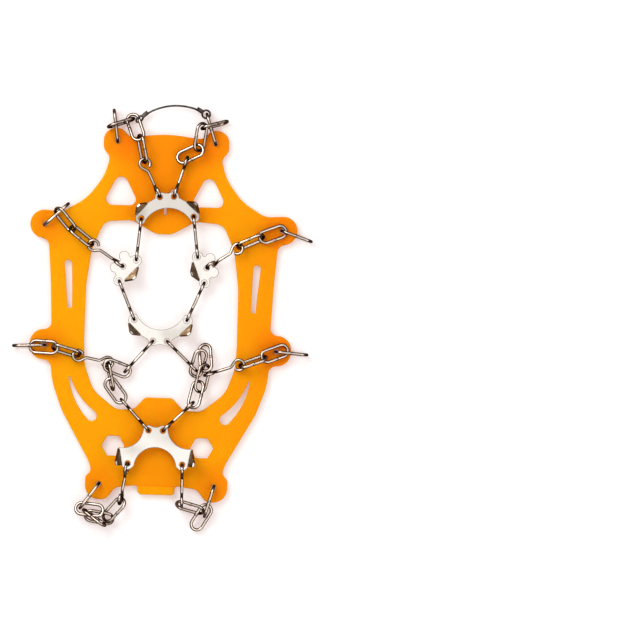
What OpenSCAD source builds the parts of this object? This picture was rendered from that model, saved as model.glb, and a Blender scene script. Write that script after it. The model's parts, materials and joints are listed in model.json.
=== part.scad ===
// Instep crampon: a stretch harness with eight lugs, five toothed plates and a net of wire links.
// Millimetres, +Y to the toe, +Z up; it lies with its teeth up, as on the photograph.

/* [Harness] */
// Thickness of the moulded harness
harness_t = 2; // [1.6:0.1:3]
// Height of the underside, which rests on the lug links
harness_lift = 1.85; // [1.75:0.05:3]
// Diameter of the hole in each lug
lug_hole_d = 3.9; // [3.6:0.1:4.4]
// Across corners of the hexagon windows
hex_d = 11.4; // [6:0.1:13]

/* [Links] */
// Wire of the links
wire_d = 1.6; // [1.2:0.1:1.8]
// Inside length of an oval link
link_in_l = 12.3; // [11.6:0.1:13.5]
// Inside width of an oval link
link_in_w = 4.4; // [4:0.1:5]
// Inside length of the lug links
lug_link_in_l = 14.2; // [13:0.1:16]
// Inside width of the lug links, which clears the harness
lug_link_in_w = 5; // [4.8:0.1:5.6]
// Inside length of a connector
conn_in_l = 19.4; // [19:0.1:20]
// Inside width of a connector's eyes
eye_in_w = 3.8; // [3.4:0.1:4.4]

/* [Plates] */
// Sheet of the toothed plates
plate_t = 1.2; // [1:0.1:1.6]
// Diameter of the link holes
plate_hole_d = 2.8; // [2.4:0.1:3.2]
// Height of the teeth along their slope
tooth_h = 8; // [5:0.5:10]
// Angle at which the teeth are bent up
tooth_bend = 72; // [45:1:88]

/* [Toe wire] */
// Diameter of the toe cable
cable_d = 1; // [0.6:0.1:1.4]
// Rise of its arc over the line between the end rings
toe_sag = 5.4; // [3:0.1:8]

/* [Hidden] */
$fn = 48;

harness_top = harness_lift + harness_t;
link_r = (link_in_w + wire_d) / 2;
eye_r = (eye_in_w + wire_d) / 2;
lug_link_r = (lug_link_in_w + wire_d) / 2;
floor_gap = 0.1;

// Half of the outer edge, from the toe to the heel: x, y and corner radius
EDGE = [
    [0, 90.6, 60], [18.8, 88.3, 5], [21.8, 92.8, 5], [31.4, 92.8, 6], [31.4, 82, 5.2],
    [27.8, 78.6, 4.2], [30.4, 69, 25], [38.5, 57.8, 25], [50.5, 50.4, 9], [66.8, 51.4, 7],
    [66.8, 37, 7], [57.4, 36.6, 4], [55.8, 16, 60], [54.7, -8.4, 3.5], [65.4, -9.2, 7],
    [65.4, -23.6, 7], [54.8, -24.2, 4], [53.6, -35, 30], [48.5, -48.8, 30], [34.2, -74, 20],
    [32.6, -78.8, 3.2], [35.6, -81.5, 3.6], [35.6, -93, 7], [25, -93, 5], [20.4, -86.8, 4],
    [9.3, -85.4, 1.2], [9.3, -90, 2]
];
// Half of the foot opening, from the toe to the heel
OPENING = [
    [4, 40.3, 9], [16, 47, 8], [29.6, 46, 6], [35.6, 32.5, 20], [38, 14, 40], [38.2, -14, 40],
    [37.6, -26, 20], [33, -38.5, 15], [21, -48, 8], [12.4, -47.4, 4], [6.8, -41.4, 3]
];
// One triangular window beside the toe panel
WINDOW = [[22, 72.6, 3.4], [31.2, 54.4, 3], [12.6, 54.4, 3]];
// Middle of a hexagon window
HEX = [22.2, -66];
// Lug holes, one side
LUGS = [[24.5, 86.5], [59.3, 43.8], [58.1, -16.7], [28.8, -85.3]];

function unit(v) = v / norm(v);
function flip(p) = [-p[0], p[1], p[2]];
function turned(p, t) = [p[0] * cos(t) - p[1] * sin(t), p[0] * sin(t) + p[1] * cos(t)];
// Closed outline from one half, left out the repeats on the axis
function both_sides(half) =
    concat(half, [for (i = [len(half) - 1 : -1 : 0]) if (half[i][0] > 0.01) flip(half[i])]);
// Arc that rounds corner b of the outline a, b, c
function corner(a, b, c, r, n = 7) =
    let (u = unit(a - b), v = unit(c - b), half = acos(u * v) / 2, m = unit(u + v),
         o = b + m * r / sin(half), p = b + u * r / tan(half),
         s = sign(u[1] * v[0] - u[0] * v[1]), turn = s * (180 - 2 * half))
    [for (i = [0 : n]) o + turned(p - o, turn * i / n)];
function xy(p) = [p[0], p[1]];
function rounded(pts) = let (n = len(pts))
    [for (i = [0 : n - 1])
        each corner(xy(pts[(i + n - 1) % n]), xy(pts[i]), xy(pts[(i + 1) % n]), pts[i][2])];
// Slot along a bent line from p to q by way of m, with a round end at q
function slot(p, m, q, wp, wq, n = 8) =
    let (c = [for (i = [0 : n]) let (t = i / n) (1 - t) * (1 - t) * p + 2 * t * (1 - t) * m + t * t * q],
         d = [for (i = [0 : n]) let (t = i / n) unit((1 - t) * (m - p) + t * (q - m))],
         w = [for (i = [0 : n]) (wp + (wq - wp) * i / n) / 2], a0 = atan2(d[n][1], d[n][0]))
    concat([for (i = [0 : n]) c[i] + w[i] * [d[i][1], -d[i][0]]],
           [for (k = [1 : 7]) q + wq / 2 * [cos(a0 - 90 + 22.5 * k), sin(a0 - 90 + 22.5 * k)]],
           [for (i = [n : -1 : 0]) c[i] - w[i] * [d[i][1], -d[i][0]]]);

module harness_plan() {
    difference() {
        polygon(rounded(both_sides(EDGE)));
        polygon(rounded(both_sides(OPENING)));
        for (s = [0, 1]) mirror([s, 0, 0]) {
            polygon(rounded(WINDOW));
            polygon(slot([45.9, 2.4], [46.4, 14], [47.2, 24.4], 2.2, 3.6));
            polygon(slot([45, -32.2], [42.2, -43.4], [33.4, -51.4], 0.8, 5.2));
            polygon(rounded([for (k = [0 : 5]) let (p = HEX + hex_d / 2 * [cos(60 * k), sin(60 * k)])
                [p[0], p[1], 1]]));
        }
        polygon(slot([4.4, 62.8], [0.4, 59.4], [0.3, 50.6], 1.2, 1.4));
    }
}

module harness() {
    color("orange") difference() {
        translate([0, 0, harness_lift]) linear_extrude(harness_t) harness_plan();
        for (s = [1, -1]) for (p = LUGS)
            translate([s * p[0], p[1], harness_lift - 1]) cylinder(d = lug_hole_d, h = harness_t + 2);
    }
}

// Oval link along X, lying in the XY plane
module oval_link(in_l, in_w) {
    c = (in_l - in_w) / 2;
    r = (in_w + wire_d) / 2;
    for (s = [0, 180]) rotate(s) {
        translate([c, 0, 0]) rotate(-90) rotate_extrude(angle = 180) translate([r, 0]) circle(d = wire_d);
        translate([-c, r, 0]) rotate([0, 90, 0]) cylinder(d = wire_d, h = 2 * c);
    }
}

// Connector along X: a straight wire whose ends are bent to eyes; each tip stops beside the neck
eye_lead = 40;
eye_sweep = 285;
neck_bend_r = 2;
wire_sides = 12;
eye_c = (conn_in_l - eye_in_w) / 2;
shank_end = eye_c - eye_r / sin(eye_lead) - neck_bend_r * tan(eye_lead / 2);
// Centre line of one half from the tip of its eye to the shank: x, y and heading
EYE_LINE = concat(
    [for (i = [0 : 13]) let (a = eye_lead - 90 - eye_sweep * (1 - i / 13))
        [eye_r * cos(a) - eye_c, eye_r * sin(a), a + 90]],
    [for (i = [0 : 2]) let (a = 90 + eye_lead * (1 - i / 2))
        [neck_bend_r * cos(a) - shank_end, neck_bend_r * (sin(a) - 1), a - 90]]);
function wire_ring(p, twist) = [for (k = [0 : wire_sides - 1])
    let (b = 360 * k / wire_sides - twist, u = wire_d / 2 * cos(b), z = wire_d / 2 * sin(b),
         x = p[0] - u * sin(p[2]), y = p[1] + u * cos(p[2]))
    [x, y * cos(twist) - z * sin(twist), y * sin(twist) + z * cos(twist)]];
module eye_wire(twist) {
    n = len(EYE_LINE);
    m = wire_sides;
    near = [for (p = EYE_LINE) each wire_ring(p, 0)];
    far = [for (i = [n - 1 : -1 : 0]) let (p = EYE_LINE[i]) each wire_ring([-p[0], p[1], -p[2]], twist)];
    sides = [for (i = [0 : 2 * n - 2]) for (k = [0 : m - 1]) let (q = i * m, j = (k + 1) % m)
        each [[q + k, q + m + k, q + m + j], [q + k, q + m + j, q + j]]];
    tips = [[for (k = [0 : m - 1]) k], [for (k = [m - 1 : -1 : 0]) (2 * n - 1) * m + k]];
    polyhedron(concat(near, far), concat(sides, tips));
}

// Plate holes: the near pair or single ones first
BAT_HEAD = [3.55, 5.15];
BAT_TAIL = [13.1, -5.2];
HEEL_HEAD = [3.6, 8.35];
HEEL_TAIL = [13.65, -8.4];
CLOVER_TOE = [-4.6, 5.5];
CLOVER_HEEL = [-1.1, -7.2];

// Bent tooth on the plate edge from p to q, which faces to the left of that line
module tooth(p, q, from, to) {
    l = norm(q - p);
    translate([p[0], p[1], plate_t / 2]) rotate(atan2(q[1] - p[1], q[0] - p[0])) {
        rotate([0, 90, 0]) cylinder(r = 0.48 * plate_t, h = l);
        rotate([tooth_bend, 0, 0]) translate([0, 0, -0.47 * plate_t]) linear_extrude(0.94 * plate_t)
            polygon([[0, 0], [l, 0], [to * l, tooth_h], [from * l, tooth_h]]);
    }
}
module holes(list) for (p = list) translate(p) circle(d = plate_hole_d);
module lobes(list, r) for (p = list) translate(p) circle(r);
function pair(p) = [p, [-p[0], p[1]]];

module bat_plan() {
    difference() {
        union() {
            lobes(pair(BAT_HEAD), 2.4);
            lobes(pair(BAT_TAIL), 3);
            polygon(concat([[3.5, 7.4], [6.2, 4.4], [9.8, 2.4], [15.9, -3.6], [13, -8], [8.6, -5.4]],
                [[-8.6, -5.4], [-13, -8], [-15.9, -3.6], [-9.8, 2.4], [-6.2, 4.4], [-3.5, 7.4]]));
        }
        translate([0, -13.9]) circle(13.4);
        translate([0, 11.6]) circle(4.7);
        holes(concat(pair(BAT_HEAD), pair(BAT_TAIL)));
    }
}
module bat_plate() {
    linear_extrude(plate_t) bat_plan();
    tooth([9.8, 2.4], [15.9, -3.6], 0.36, 0.58);
    tooth([-15.9, -3.6], [-9.8, 2.4], 0.42, 0.64);
}

module clover_plan() {
    difference() {
        union() {
            lobes([CLOVER_TOE, CLOVER_HEEL], 2.8);
            lobes([[1.7, 4.9], [3.4, -2.1]], 2.6);
            polygon(concat([[-7, 3], [-4.6, 5.5], [-1, 6], [1.7, 4.9], [2.7, 1.8]],
                [[3.4, -2.1], [2.2, -4.9], [-1.1, -7.2], [-3.7, -6.4]]));
        }
        holes([[0, 0], CLOVER_TOE, CLOVER_HEEL]);
    }
}
module clover_plate() {
    linear_extrude(plate_t) clover_plan();
    tooth([-3.7, -6.4], [-7, 3], 0.36, 0.56);
}

module heel_plan() {
    difference() {
        union() {
            lobes(pair(HEEL_HEAD), 2.6);
            lobes(pair(HEEL_TAIL), 3);
            polygon(concat([[3.6, 10.9], [9, 9], [18.3, -0.7], [16.7, -9.4], [10, -10], [0, -4]],
                [[-10, -10], [-16.7, -9.4], [-18.3, -0.7], [-9, 9], [-3.6, 10.9]]));
        }
        translate([0, -10.7]) circle(10.6);
        translate([0, 14.5]) circle(4.5);
        lobes(pair([16.5, 9.8]), 10.4);
        holes(concat(pair(HEEL_HEAD), pair(HEEL_TAIL)));
    }
}
module heel_plate_flat() {
    linear_extrude(plate_t) heel_plan();
    for (s = [0, 1]) mirror([s, 0, 0]) tooth([18.3, -0.7], [16.7, -9.4], 0.72, 0.96);
}

// Plates as they lie: place, turn and height of the middle of the sheet
plate_high = 8.3;
plate_side = 6;
plate_low = 4.2;
FRONT_AT = [[1.3, 54], 3.4];
MID_AT = [[-0.3, -7.9], 180.5];
LEFT_AT = [[-19.8, 23.7], -23.5];
RIGHT_AT = [[22, 24.1], 1.4];
HEEL_AT = [[-1, -66.2], 0.3];
module lay(at, z) translate([at[0][0], at[0][1], z - plate_t / 2]) rotate(at[1]) children();
module front_plate() color("silver") lay(FRONT_AT, plate_high) bat_plate();
module mid_plate() color("silver") lay(MID_AT, plate_low) bat_plate();
module left_plate() color("silver") lay(LEFT_AT, plate_side) mirror([1, 0, 0]) clover_plate();
module right_plate() color("silver") lay(RIGHT_AT, plate_side) clover_plate();
module heel_plate() color("silver") lay(HEEL_AT, plate_high) heel_plate_flat();

// Wire-centre length of each kind, from end to end
link_run = link_in_l + wire_d;
lug_run = lug_link_in_l + wire_d;
conn_run = conn_in_l + wire_d;
// Lug links stand on edge: height of their middle, and how far the bow sits behind the hole
lug_link_z = floor_gap + wire_d / 2 + lug_link_r;
lug_bow = 0.5;

// Lays a piece along the line from a to b, half way, rolled about it
module along(a, b, roll) {
    v = b - a;
    translate((a + b) / 2) rotate([0, -atan2(v[2], norm([v[0], v[1]])), atan2(v[1], v[0])])
        rotate([roll, 0, 0]) children();
}
// Place in the whole of point p of a plate that lies at, with its sheet at height z
function on(at, p, z) = [
    at[0][0] + p[0] * cos(at[1]) - p[1] * sin(at[1]),
    at[0][1] + p[0] * sin(at[1]) + p[1] * cos(at[1]), z];
function left_of(p) = [-p[0], p[1]];
module steel() color("silver") children();
module lug_link(lug, heading) {
    d = [cos(heading), sin(heading), 0];
    a = [lug[0], lug[1], lug_link_z] - lug_bow * d;
    steel() along(a, a + lug_run * d, 90) oval_link(lug_link_in_l, lug_link_in_w);
}
module link(a, b, roll, pull = [0, 0, 0], from = 0, to = 0) {
    steel() along(a + from * pull, b + to * pull, roll) oval_link(link_in_l, link_in_w);
}
// Connector from a plate hole towards a free end; the twist lies between its two eyes
module connector(free, hole, roll, twist) {
    steel() along(hole + conn_run * unit(free - hole), hole, roll) eye_wire(twist);
}
module plain_connector(a, b, roll, twist) steel() along(a, b, roll) eye_wire(twist);
// Shift of a connector's free end from where it is laid, which its chain takes up link by link
conn_laid = 21;
function slip(free, hole) = (conn_run - conn_laid) * unit(free - hole);

function lug(i, side) = [side * LUGS[i][0], LUGS[i][1]];
front_left = on(FRONT_AT, left_of(BAT_HEAD), plate_high);
front_right = on(FRONT_AT, BAT_HEAD, plate_high);
heel_left = on(HEEL_AT, left_of(HEEL_HEAD), plate_high);
heel_right = on(HEEL_AT, HEEL_HEAD, plate_high);

// Toe, left: lug link, three ovals and the connector to the front plate
TOE_LEFT_FREE = [-12, 78.5, 8];
toe_left_pull = slip(TOE_LEFT_FREE, front_left);
module toe_left_lug_link() lug_link(lug(0, -1), 98);
module toe_left_link_1() link([-29, 93.5, 8], [-17, 97.5, 3], 80, toe_left_pull, 0, 1 / 3);
module toe_left_link_2() link([-18, 99.5, 3], [-13.5, 87.5, 7.5], 0, toe_left_pull, 1 / 3, 2 / 3);
module toe_left_link_3() link([-13.5, 89.5, 8], [-10.5, 76, 8], 65, toe_left_pull, 2 / 3, 1);
module toe_left_connector() connector(TOE_LEFT_FREE, front_left, -10, 90);
// Toe, right
TOE_RIGHT_FREE = [11, 80, 7.5];
toe_right_pull = slip(TOE_RIGHT_FREE, front_right);
module toe_right_lug_link() lug_link(lug(0, 1), 108);
module toe_right_link_1() link([17.5, 94, 8.5], [30, 97.5, 3], 80, toe_right_pull, 1 / 3, 0);
module toe_right_link_2() link([18, 96.5, 8.5], [16, 82.5, 7.5], -40, toe_right_pull, 1 / 3, 2 / 3);
module toe_right_link_3() link([18, 84, 8.5], [6, 78, 6.5], 15, toe_right_pull, 2 / 3, 1);
module toe_right_connector() connector(TOE_RIGHT_FREE, front_right, 95, 180);

// Ball of the foot, to the middle hole of the side plates
BALL_LEFT_FREE = [-37.5, 35.5, 7.5];
left_middle = on(LEFT_AT, [0, 0], plate_side);
ball_left_pull = slip(BALL_LEFT_FREE, left_middle);
module ball_left_lug_link() lug_link(lug(1, -1), 43);
module ball_left_link_1() link([-54, 51.5, 7.5], [-45, 41, 7.5], 50, ball_left_pull, 0, 0.5);
module ball_left_link_2() link([-46.5, 42.5, 7.5], [-35.5, 34, 7.5], -55, ball_left_pull, 0.5, 1);
module ball_left_connector() connector(BALL_LEFT_FREE, left_middle, 10, 90);
BALL_RIGHT_FREE = [40.5, 36.5, 8];
right_middle = on(RIGHT_AT, [0, 0], plate_side);
ball_right_pull = slip(BALL_RIGHT_FREE, right_middle);
module ball_right_lug_link() lug_link(lug(1, 1), -18.5);
module ball_right_link_1() link([61, 44.5, 5], [48, 39.5, 7], 5, ball_right_pull, 0, 0.5);
module ball_right_link_2() link([50, 41, 7.5], [37, 35, 7.5], -60, ball_right_pull, 0.5, 1);
module ball_right_connector() connector(BALL_RIGHT_FREE, right_middle, 20, 90);

// Connectors from plate to plate
module front_left_connector() plain_connector(on(FRONT_AT, left_of(BAT_TAIL), plate_high),
    on(LEFT_AT, left_of(CLOVER_TOE), plate_side), 90, 180);
module front_right_connector() plain_connector(on(FRONT_AT, BAT_TAIL, plate_high),
    on(RIGHT_AT, CLOVER_TOE, plate_side), 90, 180);
module arch_left_connector() plain_connector(on(LEFT_AT, left_of(CLOVER_HEEL), plate_side),
    on(MID_AT, BAT_TAIL, plate_low), 90, 180);
module arch_right_connector() plain_connector(on(RIGHT_AT, CLOVER_HEEL, plate_side),
    on(MID_AT, left_of(BAT_TAIL), plate_low), 90, 180);

// Instep, left: from the lug to the hub link, which also carries the middle and heel branches
INSTEP_LEFT_FREE = [-43.5, -21, 7.5];
hub_left = [-23.5, -25, 3];
instep_left_pull = slip(INSTEP_LEFT_FREE, hub_left);
module instep_left_lug_link() lug_link(lug(2, -1), 183);
module instep_left_link_1() link([-65, -17.5, 5], [-51.5, -18, 7], 0, instep_left_pull, 0, 0.5);
module instep_left_link_2() link([-53.5, -17.5, 7.5], [-40.5, -21, 7.5], 60, instep_left_pull, 0.5, 1);
module instep_left_connector() connector(INSTEP_LEFT_FREE, hub_left, -5, 180);
module hub_left_link() link([-26, -24.5, 4], [-23, -38, 5], 80);
MID_LEFT_FREE = [-17, -28.5, 4];
mid_left = on(MID_AT, BAT_HEAD, plate_low);
module mid_left_link() link([-27.5, -25, 6.5], [-15, -29.5, 3.5], 5, slip(MID_LEFT_FREE, mid_left), 0, 1);
module mid_left_connector() connector(MID_LEFT_FREE, mid_left, 90, 180);
HEEL_LEFT_FREE = [-19, -42.5, 5.5];
module heel_left_link() link([-26, -33, 4], [-17.5, -44, 6], 5, slip(HEEL_LEFT_FREE, heel_left), 0, 1);
module heel_left_connector() connector(HEEL_LEFT_FREE, heel_left, 90, 180);
// Instep, right
INSTEP_RIGHT_FREE = [42, -23, 7.5];
hub_right = [22.5, -29.5, 3.5];
instep_right_pull = slip(INSTEP_RIGHT_FREE, hub_right);
module instep_right_lug_link() lug_link(lug(2, 1), -4);
module instep_right_link_1() link([63.5, -15, 5], [51, -20, 7.5], 0, instep_right_pull, 0, 0.5);
module instep_right_link_2() link([53, -19.5, 7.5], [40, -24.5, 8], 65, instep_right_pull, 0.5, 1);
module instep_right_connector() connector(INSTEP_RIGHT_FREE, hub_right, -5, 90);
module hub_right_link() link([23, -24, 5], [20, -38, 4.5], -30);
MID_RIGHT_FREE = [18, -27, 3.5];
mid_right = on(MID_AT, left_of(BAT_HEAD), plate_low);
mid_right_pull = slip(MID_RIGHT_FREE, mid_right);
module mid_right_link_1() link([22, -14, 1.5], [23.5, -27.5, 5.5], 20, mid_right_pull, 0.5, 0);
module mid_right_link_2() link([21, -17, 4.5], [17.5, -30, 1.5], -15, mid_right_pull, 0.5, 1);
module mid_right_connector() connector(MID_RIGHT_FREE, mid_right, 90, 180);
HEEL_RIGHT_FREE = [17.5, -43, 6.5];
module heel_right_link() link([20, -32.5, 4], [17, -46, 7], 25, slip(HEEL_RIGHT_FREE, heel_right), 0, 1);
module heel_right_connector() connector(HEEL_RIGHT_FREE, heel_right, 95, 180);

// Back of the heel
BACK_LEFT_FREE = [-18, -95, 4.5];
back_left = on(HEEL_AT, left_of(HEEL_TAIL), plate_high);
back_left_pull = slip(BACK_LEFT_FREE, back_left);
module back_left_lug_link() lug_link(lug(3, -1), 234);
module back_left_link_1() link([-40, -97.5, 4.5], [-26, -99, 7], -15, back_left_pull, 0, 0.25);
module back_left_link_2() link([-35, -99, 4.5], [-26, -105.5, 9], 100, back_left_pull, 0.25, 0.5);
module back_left_link_3() link([-34.5, -101, 4], [-21.5, -103, 3], 30, back_left_pull, 0.5, 0.75);
module back_left_link_4() link([-25.5, -103.5, 4], [-16, -92.5, 5.5], -35, back_left_pull, 0.75, 1);
module back_left_connector() connector(BACK_LEFT_FREE, back_left, 75, 180);
BACK_RIGHT_FREE = [13, -95, 6];
back_right = on(HEEL_AT, HEEL_TAIL, plate_high);
back_right_pull = slip(BACK_RIGHT_FREE, back_right);
module back_right_lug_link() lug_link(lug(3, 1), 254);
module back_right_link_1() link([26.5, -94.5, 4], [19.5, -106.5, 3], -15, back_right_pull, 0, 0.5);
module back_right_link_2() link([24, -97.5, 5], [10.5, -94, 4], -55, back_right_pull, 0.5, 1);
module back_right_connector() connector(BACK_RIGHT_FREE, back_right, 90, 180);

// Toe cable: a low arc between two end rings, with a crimp beside each
TOE_LEFT = [-13.8, 97.6, 4];
TOE_RIGHT = [19.4, 101, 4];
toe_chord = norm(TOE_RIGHT - TOE_LEFT);
toe_r = pow(toe_chord, 2) / (8 * toe_sag) + toe_sag / 2;
toe_half = asin(toe_chord / 2 / toe_r);
toe_heading = atan2(TOE_RIGHT[1] - TOE_LEFT[1], TOE_RIGHT[0] - TOE_LEFT[0]);
toe_ring_r = 2;
toe_trim = asin(toe_ring_r / toe_r);
module cable_end(p, heading, roll) {
    translate(p) rotate([0, 0, heading]) {
        rotate([roll, 0, 0]) rotate_extrude() translate([toe_ring_r, 0]) circle(d = cable_d);
        translate([toe_ring_r - 0.2, 0, 0]) rotate([0, 90, 0]) cylinder(d = 2.2 * cable_d, h = 3.6);
    }
}
module toe_wire() color("dimgray") {
    cable_end(TOE_LEFT, toe_heading + toe_half, 55);
    cable_end(TOE_RIGHT, toe_heading - toe_half + 180, 0);
    translate((TOE_LEFT + TOE_RIGHT) / 2) rotate([0, 0, toe_heading + 90])
        translate([toe_sag - toe_r, 0, 0]) rotate([0, 0, -toe_half + toe_trim])
            rotate_extrude(angle = 2 * (toe_half - toe_trim)) translate([toe_r, 0]) circle(d = cable_d);
}

harness();
front_plate();
mid_plate();
left_plate();
right_plate();
heel_plate();
toe_left_lug_link();
toe_left_link_1();
toe_left_link_2();
toe_left_link_3();
toe_left_connector();
toe_right_lug_link();
toe_right_link_1();
toe_right_link_2();
toe_right_link_3();
toe_right_connector();
ball_left_lug_link();
ball_left_link_1();
ball_left_link_2();
ball_left_connector();
ball_right_lug_link();
ball_right_link_1();
ball_right_link_2();
ball_right_connector();
front_left_connector();
front_right_connector();
arch_left_connector();
arch_right_connector();
instep_left_lug_link();
instep_left_link_1();
instep_left_link_2();
instep_left_connector();
hub_left_link();
mid_left_link();
mid_left_connector();
heel_left_link();
heel_left_connector();
instep_right_lug_link();
instep_right_link_1();
instep_right_link_2();
instep_right_connector();
hub_right_link();
mid_right_link_1();
mid_right_link_2();
mid_right_connector();
heel_right_link();
heel_right_connector();
back_left_lug_link();
back_left_link_1();
back_left_link_2();
back_left_link_3();
back_left_link_4();
back_left_connector();
back_right_lug_link();
back_right_link_1();
back_right_link_2();
back_right_connector();
toe_wire();
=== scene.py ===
import json
import math

import bmesh
import bpy
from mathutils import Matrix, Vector


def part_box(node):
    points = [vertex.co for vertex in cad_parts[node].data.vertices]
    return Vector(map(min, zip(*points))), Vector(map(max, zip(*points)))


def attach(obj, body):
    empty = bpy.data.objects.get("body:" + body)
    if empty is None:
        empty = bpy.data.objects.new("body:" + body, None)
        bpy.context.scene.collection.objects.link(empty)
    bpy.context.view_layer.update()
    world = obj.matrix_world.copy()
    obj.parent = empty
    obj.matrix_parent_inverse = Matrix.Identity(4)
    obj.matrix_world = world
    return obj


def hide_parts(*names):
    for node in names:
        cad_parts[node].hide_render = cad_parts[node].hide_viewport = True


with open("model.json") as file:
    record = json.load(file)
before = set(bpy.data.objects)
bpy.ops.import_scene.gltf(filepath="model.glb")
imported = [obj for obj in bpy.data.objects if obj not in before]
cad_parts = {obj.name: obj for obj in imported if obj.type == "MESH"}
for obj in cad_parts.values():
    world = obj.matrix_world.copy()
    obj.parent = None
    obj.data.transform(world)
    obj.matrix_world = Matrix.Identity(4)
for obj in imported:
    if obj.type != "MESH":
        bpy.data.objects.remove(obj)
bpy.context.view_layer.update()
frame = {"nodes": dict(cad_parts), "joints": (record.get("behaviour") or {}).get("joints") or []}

# The view. The crampon lies sole up on a white table and is seen straight from above,
# to the left of the picture's middle, with the camera rolled a little.
MM = 0.001
PIXEL = 0.5 * MM
PICTURE = 630
MIDDLE_PIXEL = 161.3
ROLL = math.radians(1.74)
CAMERA_HEIGHT = 1.0

reach = (PICTURE / 2 - MIDDLE_PIXEL) * PIXEL
camera = bpy.data.objects.new("camera", bpy.data.cameras.new("camera"))
camera.data.type = "ORTHO"
camera.data.ortho_scale = PICTURE * PIXEL
camera.location = (reach * math.cos(ROLL), reach * math.sin(ROLL), CAMERA_HEIGHT)
camera.rotation_euler = (0, 0, ROLL)
bpy.context.scene.collection.objects.link(camera)
bpy.context.scene.camera = camera
bpy.context.scene.view_settings.view_transform = "Standard"

# The table and the light. A matt table carries the shadow; its base colour is bluish and its glow, seen by
# camera, glossy and transmission rays only, is reddish, so the lit table reads white and the shade on it
# is painted peach.
# A soft lamp hangs over the toe and a weaker one over the heel, in an evenly pale room whose walls are
# dark in what the steel mirrors.
BLACK = (0, 0, 0, 1)
WHITE = (1, 1, 1, 1)
TABLE_HALF = 4.0
TABLE_BLUISH_BASE = (0.60, 0.78, 0.80, 1)
TABLE_GLOW_PEACH_SHADE = (0.46, 0.25, 0.22, 1)
EVEN_LIGHT = (0.69, 0.69, 0.69, 1)
WALL = (0.20, 0.17, 0.15, 1)
WALL_TOP = 0.1
CEILING_EDGE = 0.9
TOE_LAMP = (-0.32, 0.36, 0.6)
HEEL_LAMP = (0.6, -0.5, 0.8)


class Tone:
    """One value on its way through a material: operators add Math nodes, and node() adds any other."""

    def __init__(self, tree, socket=None):
        self.tree, self.socket = tree, socket

    def node(self, kind, settings=None, sockets=None, out=0):
        made = self.tree.nodes.new("ShaderNode" + kind)
        for name, value in (settings or {}).items():
            setattr(made, name, value)
        for name, value in (sockets or {}).items():
            if isinstance(value, Tone):
                self.tree.links.new(value.socket, made.inputs[name])
            else:
                made.inputs[name].default_value = value
        return Tone(self.tree, made.outputs[out])

    def maths(self, operation, a, b=0.0):
        return self.node("Math", {"operation": operation}, {0: a, 1: b})

    def __add__(self, other):
        return self.maths("ADD", self, other)

    __radd__ = __add__

    def __sub__(self, other):
        return self.maths("SUBTRACT", self, other)

    def __rsub__(self, other):
        return self.maths("SUBTRACT", other, self)

    def __mul__(self, other):
        return self.maths("MULTIPLY", self, other)

    __rmul__ = __mul__

    def __abs__(self):
        return self.maths("ABSOLUTE", self)


def start(name):
    """A new material with its shader, and the place on the piece, in metres, to begin the maths from."""
    material = bpy.data.materials.new(name)
    material.use_nodes = True
    tree = material.node_tree
    return material, tree.nodes["Principled BSDF"], Tone(tree).node("TexCoord", out="Object")


def feed(shader, **sockets):
    """Sets or links the shader's sockets, named with _ for a space."""
    for name, value in sockets.items():
        socket = shader.inputs[name.replace("_", " ")]
        if isinstance(value, Tone):
            value.tree.links.new(value.socket, socket)
        else:
            socket.default_value = value


def blend_colour(factor, a, b):
    """Colour a where the factor is 0 and b where it is 1."""
    pick = {"data_type": "RGBA", "clamp_factor": True}
    return factor.node("Mix", pick, {"Factor": factor, 6: a, 7: b}, 2)


def coordinate(place, axis):
    """One coordinate, named by its letter, of a place or a direction."""
    return place.node("SeparateXYZ", None, {"Vector": place}, axis)


def lamp(name, place, size, power):
    """A square soft lamp that looks at the middle of the crampon."""
    light = bpy.data.lights.new(name, "AREA")
    light.size, light.energy = size, power
    hung = bpy.data.objects.new(name, light)
    hung.location = place
    hung.rotation_euler = (-Vector(place)).to_track_quat("-Z", "Y").to_euler()
    bpy.context.scene.collection.objects.link(hung)


table = bpy.data.objects.new("table", bpy.data.meshes.new("table"))
corners = [(TABLE_HALF * x, TABLE_HALF * y, 0) for x, y in ((-1, -1), (1, -1), (1, 1), (-1, 1))]
table.data.from_pydata(corners, [], [(0, 1, 2, 3)])
bpy.context.scene.collection.objects.link(table)
table_finish, table_shader, at = start("table_white")
seen = at.node("LightPath", out="Is Camera Ray")
seen = seen + at.node("LightPath", out="Is Glossy Ray")
seen = seen + at.node("LightPath", out="Is Transmission Ray")
# Painted shade: the bluish base and the reddish glow add up to white where the table is lit, and leave its
# shade painted peach.
feed(table_shader, Base_Color=TABLE_BLUISH_BASE, Roughness=0.9, Specular_IOR_Level=0.1)
feed(table_shader, Emission_Color=blend_colour(seen, BLACK, TABLE_GLOW_PEACH_SHADE), Emission_Strength=1.0)
table.data.materials.append(table_finish)

world = bpy.data.worlds.new("room")
bpy.context.scene.world = world
world.use_nodes = True
room = Tone(world.node_tree)
height = coordinate(room.node("TexCoord", out="Generated"), "Z")
span = {"Value": height, "From Min": WALL_TOP, "From Max": CEILING_EDGE}
mirrored = blend_colour(height.node("MapRange", None, span), WALL, WHITE)
ambient = blend_colour(room.node("LightPath", out="Is Glossy Ray"), EVEN_LIGHT, mirrored)
seen = room.node("LightPath", out="Is Camera Ray") + room.node("LightPath", out="Is Transmission Ray")
ambient = blend_colour(seen, ambient, WHITE)
world.node_tree.links.new(ambient.socket, world.node_tree.nodes["Background"].inputs["Color"])

lamp("toe_lamp", TOE_LAMP, size=0.45, power=2.9)
lamp("heel_lamp", HEEL_LAMP, size=0.6, power=2.3)
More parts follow.
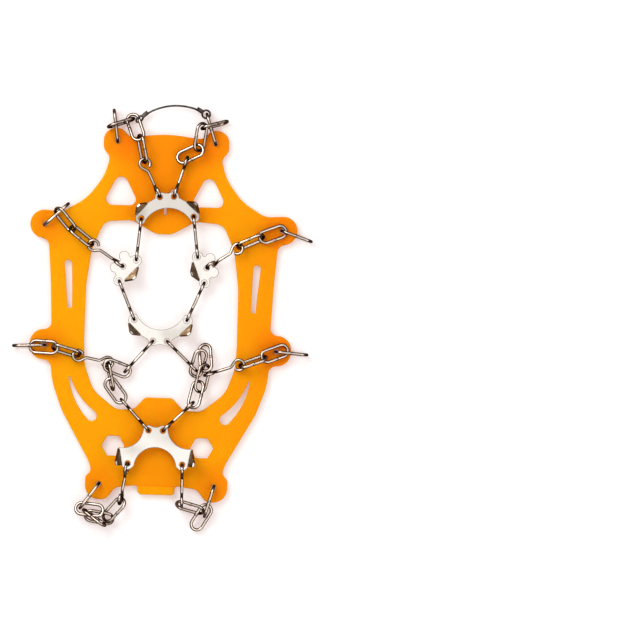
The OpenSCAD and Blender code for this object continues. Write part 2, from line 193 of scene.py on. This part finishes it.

# The harness. One flat moulding of translucent orange elastomer, with round edges all over. It is deeper
# in colour at the toe panel, at the heel and round each lug, a thin tab at the heel is paler, and each
# lug's hole closes to a slit round the link in it. Shade is painted towards the right side and along the
# tab's top edge.
EDGE_ROUND = 0.7 * MM
ROUND_STEPS = 5
SMALL_HOLE = 5 * MM
SLIT_HALF = 1.12 * MM
SLIT_RUN = 0.6 * MM
SLIT_AHEAD = 0.36 * MM
SLIT_ROUND = 0.3 * MM
SLIT_POINTS = 24
HOLE_BACK = 7.4 * MM
DEEP_ORANGE = (1.0, 0.215, 0.0, 1)
AMBER = (1.0, 0.36, 0.0, 1)
TOE_START, TOE_END = 22 * MM, 56 * MM
TOE_EDGE, TOE_CORE = 34 * MM, 12 * MM
HEEL_START, HEEL_END = -34 * MM, -48 * MM
HEEL_EDGE, HEEL_CORE = 26 * MM, 6 * MM
LUG_EDGE, LUG_CORE = 17 * MM, 3 * MM
RIGHT_SHADE_START, RIGHT_SHADE_END = 10 * MM, 55 * MM
TAB_TOP = -85.6 * MM
TAB_OUT, TAB_IN = 9.7 * MM, 9.1 * MM
TAB_STEP = 0.2 * MM
CREASE_SHADE_OUT, CREASE_SHADE_IN = 0.6 * MM, 0.1 * MM
ORANGE_CLOUD = 45 * MM
SHEEN_PATCH = 6 * MM
MOULD_GRAIN, MOULD_GRAIN_DEPTH = 1.6 * MM, 0.03 * MM
SCATTER = (1.0, 0.4, 0.06)
SCATTER_DEPTH = 3.5 * MM

joints = {joint["child"]: joint for joint in frame["joints"]}
lug_holes = []
for name, joint in joints.items():
    if name.endswith("lug_link"):
        way = Vector(joint["axis"]).xy
        lug_holes.append((Vector(joint["pos_m"]).xy - way * HOLE_BACK, way))


def piece(name, mesh, body, material):
    """Puts a finished mesh into the scene on its body."""
    mesh.shade_smooth()
    made = bpy.data.objects.new(name, mesh)
    bpy.context.scene.collection.objects.link(made)
    made.data.materials.append(material)
    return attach(made, body)


def top_rims(node):
    """The rims of a flat node's upper face, each a closed run of points, solid on the left."""
    work = bmesh.new()
    work.from_mesh(frame["nodes"][node].data)
    bmesh.ops.remove_doubles(work, verts=work.verts, dist=0.001 * MM)
    work.normal_update()
    faces = {f for f in work.faces if f.normal.z > 0.9}
    after = {}
    for face in faces:
        for corner in face.loops:
            if not faces.issuperset(corner.edge.link_faces):
                after[corner.vert] = corner.link_loop_next.vert
    rims = []
    while after:
        first, second = after.popitem()
        rim = [first.co.xy]
        while second != first:
            rim.append(second.co.xy)
            second = after.pop(second)
        rims.append(rim)
    work.free()
    return rims


def inward(rim):
    """For each point of a rim, the step into the solid that moves both its edges by one."""
    steps = []
    for i, point in enumerate(rim):
        a = (point - rim[i - 1]).normalized()
        b = (rim[(i + 1) % len(rim)] - point).normalized()
        across = Vector((-a.y - b.y, a.x + b.x)) / 2
        steps.append(across / max(across.length_squared, 0.5))
    return steps


def slit(rim):
    """A lug's hole as the link in it leaves it: a short slot along that link."""
    middle = sum(rim, Vector((0, 0))) / len(rim)
    way = min(lug_holes, key=lambda lug: (lug[0] - middle).length)[1]
    points = []
    for k in range(SLIT_POINTS):
        t = -math.tau * (k + 0.5) / SLIT_POINTS
        along = SLIT_AHEAD + math.copysign(SLIT_RUN, math.cos(t)) + SLIT_HALF * math.cos(t)
        points.append(middle + way * along + Vector((-way.y, way.x)) * SLIT_HALF * math.sin(t))
    return points


def round_edged(name, node, radius):
    """The flat node again, with its upper and lower edges rounded over."""
    low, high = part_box(node)
    work = bmesh.new()
    caps = ([], [])
    for rim in top_rims(node):
        soft = radius
        if max((p - rim[0]).length for p in rim) < SMALL_HOLE:
            rim, soft = slit(rim), SLIT_ROUND
        profile = []
        for k in range(ROUND_STEPS + 1):
            turn = math.pi / 2 * k / ROUND_STEPS
            profile.append((soft * (1 - math.sin(turn)), low.z + soft * (1 - math.cos(turn))))
        profile += [(inset, low.z + high.z - z) for inset, z in reversed(profile)]
        steps = inward(rim)
        rings = []
        for inset, z in profile:
            rings.append([work.verts.new((*(p + s * inset), z)) for p, s in zip(rim, steps)])
        n = len(rim)
        for lower, upper in zip(rings, rings[1:]):
            for i in range(n):
                work.faces.new((lower[i], lower[(i + 1) % n], upper[(i + 1) % n], upper[i]))
        for cap, ring in zip(caps, (rings[0], rings[-1])):
            cap += [work.edges.get((ring[i], ring[(i + 1) % n])) for i in range(n)]
    for cap, up in zip(caps, (-1, 1)):
        bmesh.ops.triangle_fill(work, edges=cap, use_beauty=True, normal=(0, 0, up))
    bmesh.ops.recalc_face_normals(work, faces=work.faces)
    mesh = bpy.data.meshes.new(name)
    work.to_mesh(mesh)
    work.free()
    return mesh


def swell(value, low, high):
    """0 at low, 1 at high, and a soft step between; low may be the larger."""
    settings = {"interpolation_type": "SMOOTHSTEP"}
    return value.node("MapRange", settings, {"Value": value, "From Min": low, "From Max": high})


def mottle(place, size, detail=3.0):
    """Soft cloudy variation between 0 and 1, with blotches of about that size in metres."""
    sockets = {"Vector": place, "Scale": 1 / size, "Detail": detail, "Roughness": 0.55}
    return place.node("TexNoise", None, sockets)


def relief(height, depth, strength):
    """A normal with that height raised to the depth in metres."""
    return height.node("Bump", None, {"Height": height, "Distance": depth, "Strength": strength})


elastomer, elastomer_shader, at = start("orange_elastomer")
x, y = coordinate(at, "X"), coordinate(at, "Y")
side = abs(x)
depth = swell(y, TOE_START, TOE_END) * swell(side, TOE_EDGE, TOE_CORE) * 0.62
for hole in [hole for hole, way in lug_holes if hole.x > 0]:
    off_x, off_y = side - hole.x, y - hole.y
    depth = depth + swell(at.maths("SQRT", off_x * off_x + off_y * off_y), LUG_EDGE, LUG_CORE) * 0.6
depth = depth + swell(y, HEEL_START, HEEL_END) * swell(side, HEEL_EDGE, HEEL_CORE) * 0.4
# Painted shade: the orange darkens towards the right side, away from the toe lamp.
depth = depth + swell(x, RIGHT_SHADE_START, RIGHT_SHADE_END) * 0.3
depth = depth + (mottle(at, ORANGE_CLOUD, 2.0) - 0.5) * 0.4
tab = swell(y, TAB_TOP + TAB_STEP, TAB_TOP - TAB_STEP) * swell(side, TAB_OUT, TAB_IN)
# Painted shade: a darker line along the top edge of the heel tab, where it meets the rest of the moulding.
crease_shade = swell(abs(y - TAB_TOP), CREASE_SHADE_OUT, CREASE_SHADE_IN) * swell(side, TAB_OUT, TAB_IN)
colour = blend_colour(depth * (1 - tab) + 0.5 * crease_shade, AMBER, DEEP_ORANGE)
feed(elastomer_shader, Base_Color=colour, Specular_IOR_Level=0.06, IOR=1.43)
feed(elastomer_shader, Roughness=0.42 + 0.12 * mottle(at, SHEEN_PATCH))
feed(elastomer_shader, Normal=relief(mottle(at, MOULD_GRAIN), MOULD_GRAIN_DEPTH, 0.4))
feed(elastomer_shader, Subsurface_Weight=0.55, Subsurface_Radius=SCATTER, Subsurface_Scale=SCATTER_DEPTH)
moulding = round_edged("harness_moulding", "harness", EDGE_ROUND)
harness = piece("harness_moulding", moulding, "harness", elastomer)
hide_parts("harness")

# The chain links. Drawn steel wire, bent to an oval and butt welded half way along one side; the weld
# stands out as a small darker collar with less of the painted highlight, and the wire's level top carries
# a painted highlight and its flanks painted shade.
WIRE = 1.6 * MM
# Colours of the wire's painted highlight and of the painted shade, in paler and darker patches, on its
# flanks.
WIRE_PAINTED_HIGHLIGHT = (0.76, 0.62, 0.52, 1)
WIRE_FLANK_SHADE = (0.050, 0.030, 0.020, 1)
WIRE_PALE_FLANK_SHADE = (0.19, 0.13, 0.095, 1)
WIRE_RIM = (0.12, 0.08, 0.06, 1)
HIGHLIGHT_FOOT, HIGHLIGHT_TOP = 0.79, 0.99
HIGHLIGHT_RUN = 5 * MM
FLANK_SHADE_PATCH = 2.5 * MM
POLISH_PATCH = 3 * MM
WIRE_GRAIN, WIRE_GRAIN_DEPTH = 0.9 * MM, 0.012 * MM
WELD_LENGTH = 1.8 * MM
WELD_RISE = 0.12 * MM
WELD_SIDES = 16
WELD_STEPS = 8
WIDEST_SPAN = 0.02 * MM


def lift(normal):
    """How far a normal points up or down: 1 where the surface is level, 0 where it stands upright."""
    return abs(coordinate(normal, "Z"))


def wire_finish(name, highlight_share):
    """Wire steel with a painted highlight on its level upper side, at that share, and painted shade on its
    flanks.
    """
    material, shader, at = start(name)
    # Painted highlight on the wire's level upper side and painted shade on its steep flanks, from the
    # surface normal.
    highlight_level = swell(lift(at.node("NewGeometry", out="Normal")), HIGHLIGHT_FOOT, HIGHLIGHT_TOP)
    painted_highlight = highlight_level * (1.3 - 0.9 * mottle(at, HIGHLIGHT_RUN, 2.0)) * highlight_share
    flank_shade = blend_colour(swell(mottle(at, FLANK_SHADE_PATCH, 2.0), 0.40, 0.68), WIRE_FLANK_SHADE, WIRE_PALE_FLANK_SHADE)
    feed(shader, Metallic=1.0, Base_Color=blend_colour(painted_highlight, flank_shade, WIRE_PAINTED_HIGHLIGHT), Specular_Tint=WIRE_RIM)
    feed(shader, Roughness=0.16 + 0.12 * mottle(at, POLISH_PATCH))
    feed(shader, Normal=relief(mottle(at, WIRE_GRAIN), WIRE_GRAIN_DEPTH, 0.4))
    return material


def dress(node, material):
    """Gives a CAD node its finish."""
    node.data.materials.clear()
    node.data.materials.append(material)
    node.data.shade_smooth()


def weld(name, middle, run):
    """A short swelling round the wire, along the run."""
    out = run.orthogonal().normalized()
    other = run.cross(out)
    verts, faces = [], []
    for i in range(WELD_STEPS + 1):
        u = 2 * i / WELD_STEPS - 1
        radius = WIRE / 2 + WELD_RISE * (math.cos(u * math.pi / 2) - 0.1)
        for k in range(WELD_SIDES):
            t = math.tau * k / WELD_SIDES
            round_wire = radius * (out * math.cos(t) + other * math.sin(t))
            verts.append(middle + run * u * WELD_LENGTH / 2 + round_wire)
    for i in range(WELD_STEPS):
        for k in range(WELD_SIDES):
            a, b = WELD_SIDES * i + k, WELD_SIDES * i + (k + 1) % WELD_SIDES
            faces.append((a, b, b + WELD_SIDES, a + WELD_SIDES))
    mesh = bpy.data.meshes.new(name)
    mesh.from_pydata(verts, [], faces)
    return mesh


wire_steel = wire_finish("drawn_wire_steel", 1.0)
weld_steel = wire_finish("weld_steel", 0.55)
for name in [n for n in frame["nodes"] if "link" in n]:
    dress(frame["nodes"][name], wire_steel)
    middle, run = Vector(joints[name]["pos_m"]), Vector(joints[name]["axis"]).normalized()
    points = [v.co - middle for v in frame["nodes"][name].data.vertices]
    wide = [p - run * p.dot(run) for p in points]
    widest = max(p.length for p in wide)
    sides = [p for p in wide if p.length > widest - WIDEST_SPAN]
    across = max(sides, key=lambda p: p.z).normalized()
    seat = middle + across * (widest - WIRE / 2)
    piece(name + "_weld", weld(name + "_weld", seat, run), name, weld_steel)

# The connectors. A straight piece of the same wire, each end bent round to a small eye
# whose tip stops beside the neck; the two eyes are turned to suit the links they hook.
SEAM = 0.001 * MM

for name in [n for n in frame["nodes"] if n.endswith("connector")]:
    dress(frame["nodes"][name], wire_steel)
    frame["nodes"][name].modifiers.new("close", "WELD").merge_threshold = SEAM
    smooth = frame["nodes"][name].modifiers.new("smooth", "SUBSURF")
    smooth.levels = smooth.render_levels = 1

# The plates. Stamped and tempered steel sheet, tumbled to a warm bright satin with grey clouds, greyer
# towards the front and the tooth tips; the teeth are bent up, and shade is painted in streaks on their
# flanks and on every steep face, and as a thin dark line round the edges of the sheet.
PLATE_BRIGHT = (0.97, 0.925, 0.86, 1)
PLATE_GREY = (0.54, 0.48, 0.42, 1)
# Colours of the painted shade, in darker and paler streaks, on the steep faces and edges of the sheet.
PLATE_FLANK_SHADE = (0.075, 0.057, 0.043, 1)
PLATE_PALE_FLANK_SHADE = (0.27, 0.20, 0.15, 1)
PLATE_RIM = (0.58, 0.50, 0.43, 1)
EDGE_SHADE_RADIUS = 0.9 * MM
EDGE_SHADE_IN, EDGE_SHADE_OUT = 0.985, 0.82
FRONT_START, FRONT_END = 40 * MM, 48 * MM
TIP_FOOT, TIP_TOP = 9.8 * MM, 11 * MM
GREY_CLOUD = 16 * MM
FLANK_SHADE_STREAK = 2.6 * MM
SATIN_PATCH = 2.2 * MM
SHEET_GRAIN, SHEET_GRAIN_DEPTH = 0.8 * MM, 0.02 * MM

sheet_steel, sheet_shader, at = start("tumbled_sheet_steel")
# Painted shade on steep faces, and as a thin dark line round every edge, from the rounded surface normal.
flank_shade = swell(lift(at.node("Bevel", {"samples": 8}, {"Radius": EDGE_SHADE_RADIUS})), EDGE_SHADE_IN, EDGE_SHADE_OUT)
# Greyer towards the front of the sheet and towards the tooth tips.
front_and_tip_grey = swell(coordinate(at, "Y"), FRONT_START, FRONT_END) * 0.5
front_and_tip_grey = front_and_tip_grey + swell(coordinate(at, "Z"), TIP_FOOT, TIP_TOP) * 0.5
cloud = swell(mottle(at, GREY_CLOUD, 1.5), 0.48, 0.8) * 0.7 + front_and_tip_grey
shade_streak = swell(mottle(at, FLANK_SHADE_STREAK, 4.0), 0.45, 0.7)
face = blend_colour(cloud, PLATE_BRIGHT, PLATE_GREY)
flank_shade_colour = blend_colour(shade_streak, PLATE_FLANK_SHADE, PLATE_PALE_FLANK_SHADE)
feed(sheet_shader, Metallic=1.0, Base_Color=blend_colour(flank_shade, face, flank_shade_colour), Specular_Tint=PLATE_RIM)
feed(sheet_shader, Roughness=0.16 + 0.14 * mottle(at, SATIN_PATCH, 5.0))
feed(sheet_shader, Normal=relief(mottle(at, SHEET_GRAIN), SHEET_GRAIN_DEPTH, 0.3))
for name in [n for n in frame["nodes"] if n.endswith("plate")]:
    dress(frame["nodes"][name], sheet_steel)
    frame["nodes"][name].data.shade_flat()

# The toe wire. Thin hard-drawn steel wire that springs in an arc across the toe; each end
# is wound to a ring on the chain and crimped beside it, and it keeps the dark of the drawing.
TOE_WIRE_DARK = (0.035, 0.027, 0.021, 1)
TOE_WIRE_GREY = (0.12, 0.10, 0.085, 1)
SCALE_PATCH = 2.2 * MM
DRAWN_PATCH = 1.5 * MM
DRAWN_GRAIN, DRAWN_GRAIN_DEPTH = 0.7 * MM, 0.012 * MM

toe_steel, toe_shader, at = start("toe_wire_steel")
scale = swell(mottle(at, SCALE_PATCH), 0.35, 0.65)
feed(toe_shader, Metallic=1.0, Base_Color=blend_colour(scale, TOE_WIRE_DARK, TOE_WIRE_GREY))
feed(toe_shader, Roughness=0.28 + 0.15 * mottle(at, DRAWN_PATCH))
feed(toe_shader, Normal=relief(mottle(at, DRAWN_GRAIN), DRAWN_GRAIN_DEPTH, 0.4))
dress(frame["nodes"]["toe_wire"], toe_steel)
